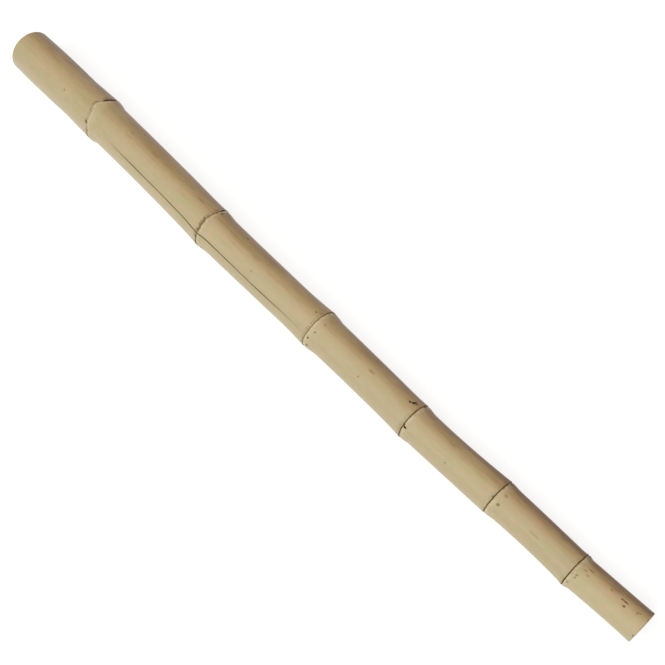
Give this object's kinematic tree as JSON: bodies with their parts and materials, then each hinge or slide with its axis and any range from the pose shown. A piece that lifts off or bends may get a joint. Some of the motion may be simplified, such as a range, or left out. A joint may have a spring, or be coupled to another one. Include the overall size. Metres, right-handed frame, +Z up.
{
  "type": "bamboo cane",
  "caption": "Short length of dried bamboo cane, tapering and ringed by raised joint ledges, sawn square at both ends with open hollows, lying on its side.",
  "frame": {"origin": "on the surface that the cane lies on, under the middle of its outline", "axes": "+X along the cane from its thick end to its thin end, +Z up, +Y to the side"},
  "size_m": [0.6, 0.0364, 0.0342],
  "materials": {
    "culm": "Dried straw-coloured bamboo skin with a low satin sheen, faint lengthwise fibre lines, soft yellow-green and pinkish tan clouding, thin dark brown rings at the joint ledges with a paler waxy band past each, small brown specks near the joints, and dull fibrous sawn ends"
  },
  "bodies": {
    "root": {"culm": "culm"}
  },
  "joints": []
}
